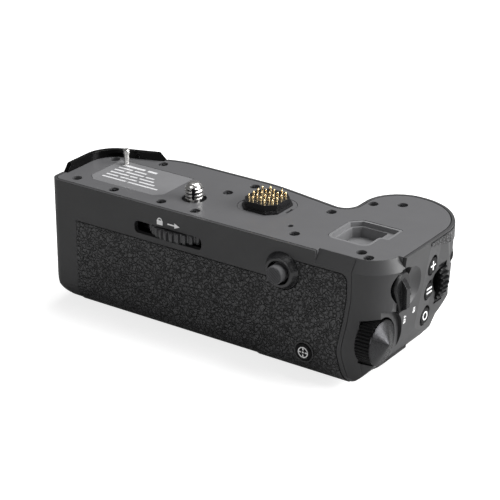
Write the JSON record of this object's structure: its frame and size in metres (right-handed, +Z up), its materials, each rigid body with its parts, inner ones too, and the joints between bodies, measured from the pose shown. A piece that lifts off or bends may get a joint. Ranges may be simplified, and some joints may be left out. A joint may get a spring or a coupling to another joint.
{
  "type": "camera battery grip",
  "caption": "Battery grip for the base of a camera: tripod screw with lock wheel, spring contacts, vertical release, dials, joystick, power lever and side-loading battery tray.",
  "frame": {"origin": "where the tripod screw's axis meets the seating plane of the top plate", "axes": "+Z up along the tripod screw, +X to the end with the controls, +Y to the front of the camera"},
  "size_m": [0.1357, 0.0629, 0.0514],
  "materials": {
    "plate_grey": "satin, fine grain",
    "shell_grey": "satin, fine texture",
    "gloss_black": "glossy",
    "leather_black": "pebbled grain",
    "rubber_black": "matte",
    "control_black": "satin",
    "lever_grey": "satin",
    "label_grey": "matte",
    "steel": "machined",
    "dark_steel": "blackened",
    "gold_contact": "plated",
    "board_green": "solder mask",
    "frame_alloy": "stamped",
    "ribbon_amber": "film",
    "seal_rubber": "matte"
  },
  "bodies": {
    "grip": {"main_shell": "shell_grey", "end_cap": "shell_grey", "top_plate": "plate_grey", "inner_frame": "frame_alloy", "camera_lip": "gloss_black", "rating_label": "label_grey", "top_screws": "dark_steel", "deep_screws": "dark_steel", "rear_leather": "leather_black", "front_leather": "leather_black", "grip_leather": "leather_black", "end_leather": "leather_black", "base_pad": "rubber_black", "tripod_socket": "steel", "screw_collar": "dark_steel", "wheel_bracket": "frame_alloy", "locating_pin": "steel", "connector_block": "control_black", "connector_frame": "plate_grey", "cover_pocket": "plate_grey", "joystick_collar": "control_black", "joystick_base": "control_black", "af_lock_ring": "control_black", "rear_switch": "control_black", "rear_board": "board_green", "power_switch": "control_black", "dome_switches": "steel", "control_board": "board_green", "board_screws": "dark_steel", "front_dial_axle": "steel", "dial_encoders": "control_black", "shutter_ring": "control_black", "shutter_switch": "control_black", "rear_dial_axle": "steel", "main_board": "board_green", "ribbon_cable": "ribbon_amber", "battery_chamber": "control_black", "contact_block": "control_black", "contact_blades": "gold_contact"},
    "camera_screw": {"tripod_screw": "steel", "lock_wheel": "control_black", "screw_clip": "steel"},
    "joystick_ring": {"joystick_gimbal": "steel"},
    "joystick_shaft": {"joystick_stem": "steel"},
    "joystick_tip": {"joystick_knob": "rubber_black"},
    "lock_button": {"af_lock_button": "control_black"},
    "lever": {"power_lever": "lever_grey"},
    "button_1": {"function_button_1": "control_black"},
    "button_2": {"function_button_2": "control_black"},
    "button_3": {"function_button_3": "control_black"},
    "front_wheel": {"front_dial": "control_black"},
    "rear_wheel": {"rear_dial": "control_black"},
    "release_button": {"shutter_button": "control_black"},
    "contact_pins": {"connector_pins": "gold_contact"},
    "tray": {"battery_tray": "control_black", "tray_screws": "dark_steel", "tray_seal": "seal_rubber", "tray_cover": "shell_grey"},
    "tray_key": {"lock_key": "control_black"}
  },
  "joints": [
    {"name": "lock_wheel_turn", "type": "hinge", "parent": "grip", "child": "camera_screw", "pos_m": [0, 0, 0], "axis": [0, 0, 1], "continuous": true},
    {"name": "joystick_up_down", "type": "hinge", "parent": "grip", "child": "joystick_ring", "pos_m": [0.04448, -0.0095, -0.0099], "axis": [1, 0, 0], "range_deg": [-6, 6], "stiffness_Nm_per_rad": 0.02},
    {"name": "joystick_side", "type": "hinge", "parent": "joystick_ring", "child": "joystick_shaft", "pos_m": [0.04448, -0.0095, -0.0099], "axis": [0, 0, 1], "range_deg": [-6, 6], "stiffness_Nm_per_rad": 0.02},
    {"name": "joystick_press", "type": "slide", "parent": "joystick_shaft", "child": "joystick_tip", "axis": [0, 1, 0], "range_m": [0, 0.0005], "stiffness_N_per_m": 3000},
    {"name": "lock_button_press", "type": "slide", "parent": "grip", "child": "lock_button", "axis": [0, 1, 0], "range_m": [0, 0.0005], "stiffness_N_per_m": 3000},
    {"name": "power_lever_turn", "type": "hinge", "parent": "grip", "child": "lever", "pos_m": [0.0823, -0.0015, -0.0097], "axis": [1, 0, 0], "range_deg": [0, 35]},
    {"name": "function_button_1_press", "type": "slide", "parent": "grip", "child": "button_1", "axis": [-1, 0, 0], "range_m": [0, 0.0006], "stiffness_N_per_m": 2500},
    {"name": "function_button_2_press", "type": "slide", "parent": "grip", "child": "button_2", "axis": [-1, 0, 0], "range_m": [0, 0.0006], "stiffness_N_per_m": 2500},
    {"name": "function_button_3_press", "type": "slide", "parent": "grip", "child": "button_3", "axis": [-1, 0, 0], "range_m": [0, 0.0006], "stiffness_N_per_m": 2500},
    {"name": "front_dial_turn", "type": "hinge", "parent": "grip", "child": "front_wheel", "pos_m": [0.07209, 0.0267, -0.0192], "axis": [0, 1, 0], "continuous": true},
    {"name": "rear_dial_turn", "type": "hinge", "parent": "grip", "child": "rear_wheel", "pos_m": [0.0765, -0.0093, -0.02749], "axis": [1, 0, 0], "continuous": true},
    {"name": "shutter_press", "type": "slide", "parent": "grip", "child": "release_button", "axis": [-0.682, -0.7314, 0], "range_m": [0, 0.0008], "stiffness_N_per_m": 1500},
    {"name": "contact_pin_press", "type": "slide", "parent": "grip", "child": "contact_pins", "axis": [0, 0, -1], "range_m": [0, 0.001], "stiffness_N_per_m": 4000},
    {"name": "battery_tray_slide", "type": "slide", "parent": "grip", "child": "tray", "axis": [-1, 0, 0], "range_m": [0, 0.062]},
    {"name": "lock_key_turn", "type": "hinge", "parent": "tray", "child": "tray_key", "pos_m": [-0.049, -0.00351, -0.03173], "axis": [1, 0, 0], "range_deg": [0, 90]}
  ]
}
